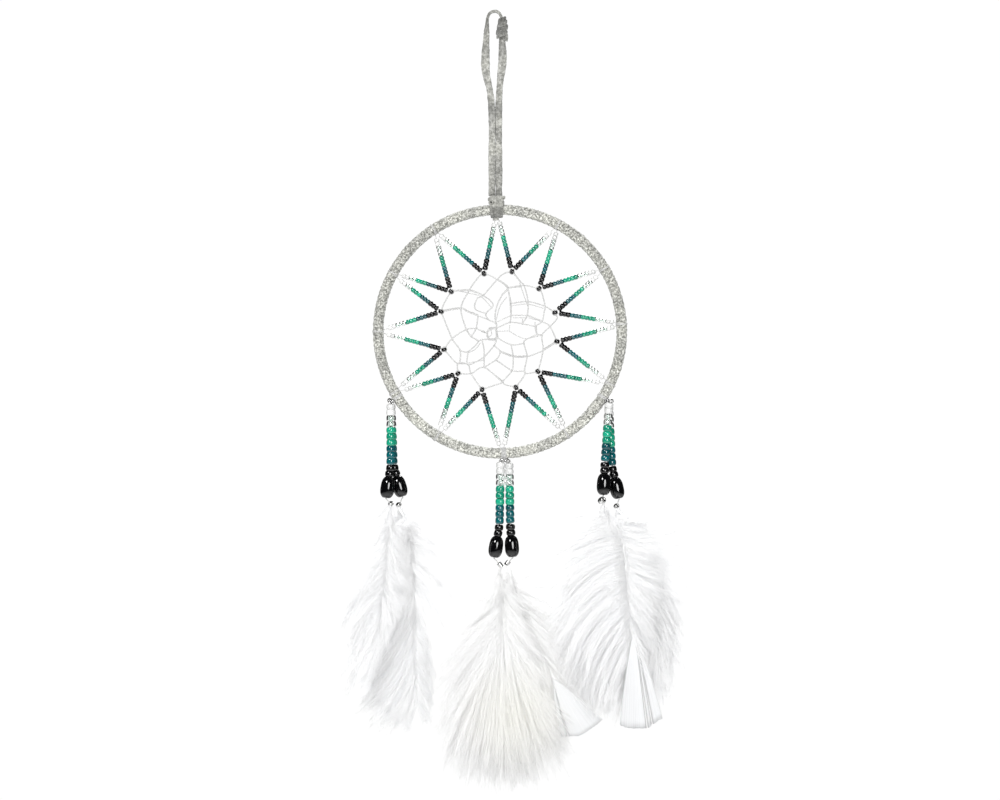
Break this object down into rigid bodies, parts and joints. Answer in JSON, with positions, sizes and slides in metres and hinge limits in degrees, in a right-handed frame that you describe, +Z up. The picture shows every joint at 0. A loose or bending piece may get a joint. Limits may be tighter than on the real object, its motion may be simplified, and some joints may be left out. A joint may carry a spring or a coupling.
{
  "type": "dream catcher",
  "caption": "Beaded dream catcher: a suede-wrapped hoop on a doubled lace loop, with a beaded star round a thread web and beaded pendants that end in white feathers.",
  "frame": {"origin": "where a hook or nail bears, on the inside top of the hanging lace's loop", "axes": "+Z up along the lace, +X to the right across the front, -Y out of the front"},
  "size_m": [0.1605, 0.0112, 0.3862],
  "materials": {
    "suede_lace": "grey suede lace, matt with a short nap",
    "suede_wrap": "pale warm-grey suede, mottled and rough",
    "ring_steel": "plain steel wire",
    "white_thread": "off-white waxed thread",
    "bead_white": "opaque white glass, glossy",
    "bead_clear": "clear glass with a silver-lined hole",
    "bead_green": "opaque green glass, glossy",
    "bead_teal": "deep teal glass, glossy",
    "bead_black": "black glass, glossy",
    "bead_silver": "silver-plated metal",
    "feather_white": "white down and vane, soft"
  },
  "bodies": {
    "lace": {"hanging_lace": "suede_lace", "lace_end_knot": "suede_lace"},
    "hitch": {"lace_hitch": "suede_lace"},
    "hoop": {"hoop_ring": "ring_steel", "hoop_wrap": "suede_wrap", "star_thread": "white_thread", "star_thread_turns": "white_thread", "web_thread": "white_thread", "pendant_ties": "white_thread", "star_white_beads": "bead_white", "star_clear_beads": "bead_clear", "star_green_beads": "bead_green", "star_teal_beads": "bead_teal", "star_black_beads": "bead_black"},
    "left_knot": {"left_tie_knot": "bead_silver"},
    "middle_knot": {"middle_tie_knot": "bead_silver"},
    "right_knot": {"right_tie_knot": "bead_silver"},
    "left_strand_1": {"left_strand_1_thread": "white_thread", "left_strand_1_pale_beads": "bead_white", "left_strand_1_green_beads": "bead_green", "left_strand_1_teal_beads": "bead_teal", "left_strand_1_black_beads": "bead_black", "left_strand_1_end_bead": "bead_silver"},
    "left_feather_1": {"left_feather_1": "feather_white"},
    "left_strand_2": {"left_strand_2_thread": "white_thread", "left_strand_2_pale_beads": "bead_white", "left_strand_2_green_beads": "bead_green", "left_strand_2_teal_beads": "bead_teal", "left_strand_2_black_beads": "bead_black", "left_strand_2_end_bead": "bead_silver"},
    "left_feather_2": {"left_feather_2": "feather_white"},
    "middle_strand_1": {"middle_strand_1_thread": "white_thread", "middle_strand_1_pale_beads": "bead_white", "middle_strand_1_green_beads": "bead_green", "middle_strand_1_teal_beads": "bead_teal", "middle_strand_1_black_beads": "bead_black", "middle_strand_1_end_bead": "bead_silver"},
    "middle_feather_1": {"middle_feather_1": "feather_white"},
    "middle_strand_2": {"middle_strand_2_thread": "white_thread", "middle_strand_2_pale_beads": "bead_white", "middle_strand_2_green_beads": "bead_green", "middle_strand_2_teal_beads": "bead_teal", "middle_strand_2_black_beads": "bead_black", "middle_strand_2_end_bead": "bead_silver"},
    "middle_feather_2": {"middle_feather_2": "feather_white"},
    "right_strand_1": {"right_strand_1_thread": "white_thread", "right_strand_1_pale_beads": "bead_white", "right_strand_1_green_beads": "bead_green", "right_strand_1_teal_beads": "bead_teal", "right_strand_1_black_beads": "bead_black", "right_strand_1_end_bead": "bead_silver"},
    "right_feather_1": {"right_feather_1": "feather_white"},
    "right_strand_2": {"right_strand_2_thread": "white_thread", "right_strand_2_pale_beads": "bead_white", "right_strand_2_green_beads": "bead_green", "right_strand_2_teal_beads": "bead_teal", "right_strand_2_black_beads": "bead_black", "right_strand_2_end_bead": "bead_silver"},
    "right_feather_2": {"right_feather_2": "feather_white"}
  },
  "joints": [
    {"name": "lace_twist", "type": "hinge", "parent": "lace", "child": "hitch", "pos_m": [0.00025, 0, -0.09075], "axis": [0, 0, 1], "range_deg": [-90, 90]},
    {"name": "hoop_tilt", "type": "hinge", "parent": "hitch", "child": "hoop", "pos_m": [0.0009, 0, -0.0976], "axis": [1, 0, 0], "range_deg": [-30, 30]},
    {"name": "left_sway", "type": "hinge", "parent": "hoop", "child": "left_knot", "pos_m": [-0.052, 0, -0.19337], "axis": [1, 0, 0], "range_deg": [-30, 30]},
    {"name": "middle_sway", "type": "hinge", "parent": "hoop", "child": "middle_knot", "pos_m": [0.00495, 0, -0.22315], "axis": [1, 0, 0], "range_deg": [-30, 30]},
    {"name": "right_sway", "type": "hinge", "parent": "hoop", "child": "right_knot", "pos_m": [0.057, 0, -0.19337], "axis": [1, 0, 0], "range_deg": [-30, 30]},
    {"name": "left_strand_1_swing", "type": "hinge", "parent": "left_knot", "child": "left_strand_1", "pos_m": [-0.052, -0.00215, -0.19337], "axis": [0, 1, 0], "range_deg": [0, 30]},
    {"name": "left_feather_1_flutter", "type": "hinge", "parent": "left_strand_1", "child": "left_feather_1", "pos_m": [-0.05196, -0.00215, -0.24581], "axis": [0, 1, 0], "range_deg": [-12, 12]},
    {"name": "left_strand_2_swing", "type": "hinge", "parent": "left_knot", "child": "left_strand_2", "pos_m": [-0.052, 0.00215, -0.19337], "axis": [0, 1, 0], "range_deg": [-15, 0]},
    {"name": "left_feather_2_flutter", "type": "hinge", "parent": "left_strand_2", "child": "left_feather_2", "pos_m": [-0.04827, 0.00215, -0.2465], "axis": [0, 1, 0], "range_deg": [-12, 12]},
    {"name": "middle_strand_1_swing", "type": "hinge", "parent": "middle_knot", "child": "middle_strand_1", "pos_m": [0.0028, 0, -0.22315], "axis": [0, 1, 0], "range_deg": [0, 25]},
    {"name": "middle_feather_1_flutter", "type": "hinge", "parent": "middle_strand_1", "child": "middle_feather_1", "pos_m": [0.00259, 0, -0.27655], "axis": [0, 1, 0], "range_deg": [-12, 12]},
    {"name": "middle_strand_2_swing", "type": "hinge", "parent": "middle_knot", "child": "middle_strand_2", "pos_m": [0.0071, 0, -0.22315], "axis": [0, 1, 0], "range_deg": [-25, 0]},
    {"name": "middle_feather_2_flutter", "type": "hinge", "parent": "middle_strand_2", "child": "middle_feather_2", "pos_m": [0.00621, 0, -0.27562], "axis": [0, 1, 0], "range_deg": [-12, 12]},
    {"name": "right_strand_1_swing", "type": "hinge", "parent": "right_knot", "child": "right_strand_1", "pos_m": [0.057, -0.00215, -0.19337], "axis": [0, 1, 0], "range_deg": [0, 15]},
    {"name": "right_feather_1_flutter", "type": "hinge", "parent": "right_strand_1", "child": "right_feather_1", "pos_m": [0.05336, -0.00215, -0.24471], "axis": [0, 1, 0], "range_deg": [-12, 12]},
    {"name": "right_strand_2_swing", "type": "hinge", "parent": "right_knot", "child": "right_strand_2", "pos_m": [0.057, 0.00215, -0.19337], "axis": [0, 1, 0], "range_deg": [-30, 0]},
    {"name": "right_feather_2_flutter", "type": "hinge", "parent": "right_strand_2", "child": "right_feather_2", "pos_m": [0.06081, 0.00215, -0.24717], "axis": [0, 1, 0], "range_deg": [-12, 12]}
  ]
}
